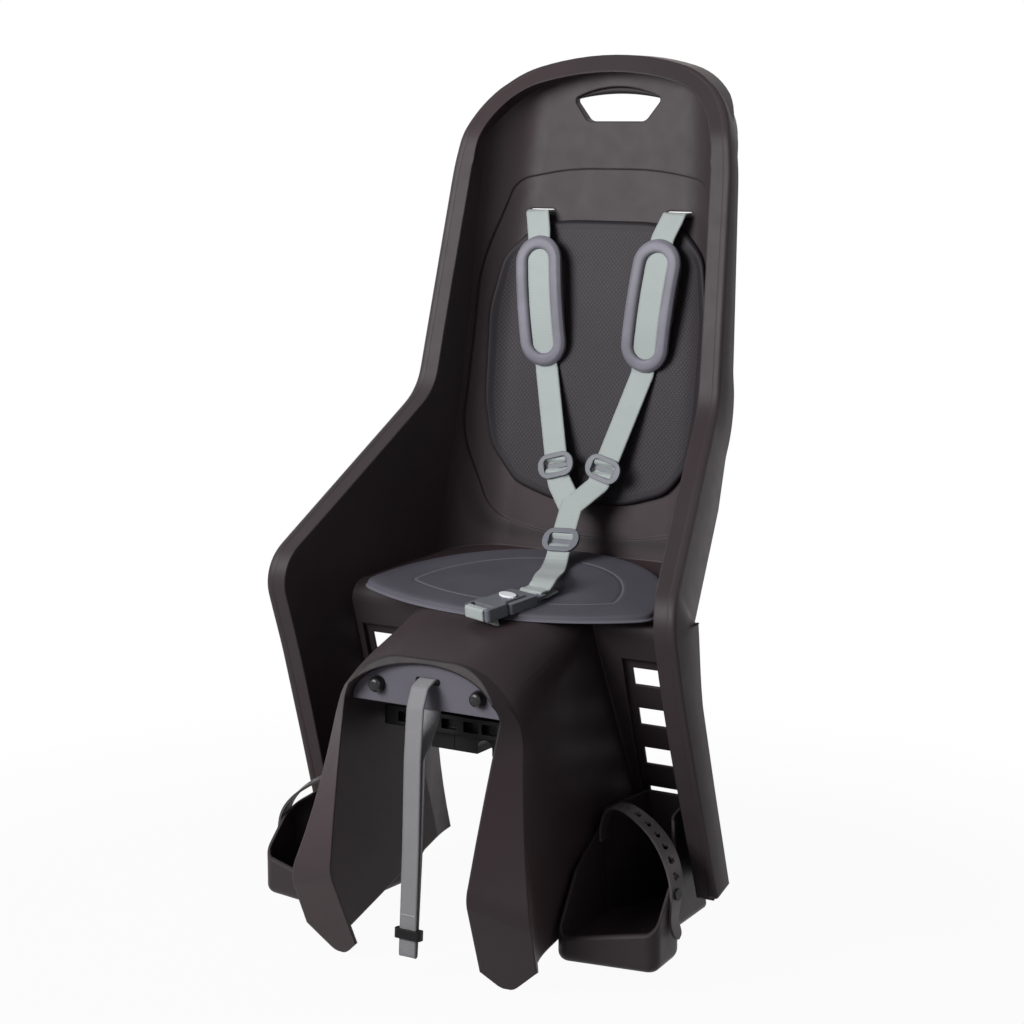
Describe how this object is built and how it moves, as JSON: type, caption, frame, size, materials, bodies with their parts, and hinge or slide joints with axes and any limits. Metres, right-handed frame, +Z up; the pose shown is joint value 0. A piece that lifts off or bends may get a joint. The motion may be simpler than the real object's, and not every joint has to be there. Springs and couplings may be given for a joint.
{
  "type": "child bike seat",
  "caption": "Rear child seat for a bicycle carrier: winged plastic bucket with spoke guards, harness, pads, sliding footrests and a clamp for the carrier tubes.",
  "frame": {"origin": "midway between the two carrier tubes, at the height of their axes and the middle of the clamp's length", "axes": "the child looks along -Y, +X is the child's left, +Z is up"},
  "size_m": [0.4498, 0.422, 0.8359],
  "materials": {
    "shell_plastic": "fine satin grain",
    "back_pad": "soft moulded foam with a fine cross-hatched grain",
    "seat_pad": "soft moulded foam, smooth",
    "buckle_plastic": "satin",
    "button_plastic": "satin",
    "slider_plastic": "satin",
    "webbing": "woven webbing",
    "safety_webbing": "woven webbing",
    "shoulder_rubber": "matte",
    "plate_plastic": "satin",
    "bolt_steel": "black, glossy",
    "clamp_plastic": "satin",
    "footrest_plastic": "fine satin grain",
    "strap_rubber": "matte"
  },
  "bodies": {
    "seat": {"shell": "shell_plastic", "backrest_pad": "back_pad", "seat_pad": "seat_pad", "buckle_body": "buckle_plastic", "buckle_tongue": "buckle_plastic", "junction_slider": "slider_plastic", "lap_strap": "webbing", "crotch_strap": "webbing", "front_plate": "plate_plastic", "front_bolts": "bolt_steel", "front_nuts": "bolt_steel", "safety_strap": "safety_webbing", "safety_strap_slider": "clamp_plastic", "clamp_beam": "clamp_plastic", "shoulder_strap_left": "webbing", "shoulder_strap_right": "webbing", "strap_anchor_left": "bolt_steel", "strap_anchor_right": "bolt_steel", "shoulder_pad_left": "shoulder_rubber", "shoulder_pad_right": "shoulder_rubber", "strap_slider_left": "slider_plastic", "strap_slider_right": "slider_plastic"},
    "footrest_left": {"footrest_left": "footrest_plastic", "footrest_latch_left": "clamp_plastic", "footrest_strap_left": "strap_rubber", "strap_stud_left": "clamp_plastic"},
    "footrest_right": {"footrest_right": "footrest_plastic", "footrest_latch_right": "clamp_plastic", "footrest_strap_right": "strap_rubber", "strap_stud_right": "clamp_plastic"},
    "button": {"buckle_button": "button_plastic"},
    "spindle": {"clamp_spindle": "bolt_steel", "clamp_knob": "clamp_plastic"},
    "jaw_left": {"clamp_jaw_left": "clamp_plastic"},
    "jaw_right": {"clamp_jaw_right": "clamp_plastic"}
  },
  "joints": [
    {"name": "footrest_left_slide", "type": "slide", "parent": "seat", "child": "footrest_left", "axis": [0, -0.2873, 0.9578], "range_m": [0, 0.129]},
    {"name": "footrest_right_slide", "type": "slide", "parent": "seat", "child": "footrest_right", "axis": [0, -0.2873, 0.9578], "range_m": [0, 0.129]},
    {"name": "buckle_button_press", "type": "slide", "parent": "seat", "child": "button", "axis": [0, 0.1348, -0.9909], "range_m": [0, 0.0024], "stiffness_N_per_m": 800, "springref_m": -0.001},
    {"name": "clamp_spindle_turn", "type": "hinge", "parent": "seat", "child": "spindle", "pos_m": [0, 0, 0.018], "axis": [1, 0, 0], "range_deg": [0, 2162]},
    {"name": "clamp_jaw_left_slide", "type": "slide", "parent": "seat", "child": "jaw_left", "axis": [1, 0, 0], "range_m": [0, 0.012]},
    {"name": "clamp_jaw_right_slide", "type": "slide", "parent": "seat", "child": "jaw_right", "axis": [-1, 0, 0], "range_m": [0, 0.0121]}
  ],
  "couplings": [
    {"joint": "clamp_spindle_turn", "follows": "clamp_jaw_left_slide", "rad_per_m": 3141.6},
    {"joint": "clamp_jaw_right_slide", "follows": "clamp_jaw_left_slide", "ratio": 1}
  ]
}
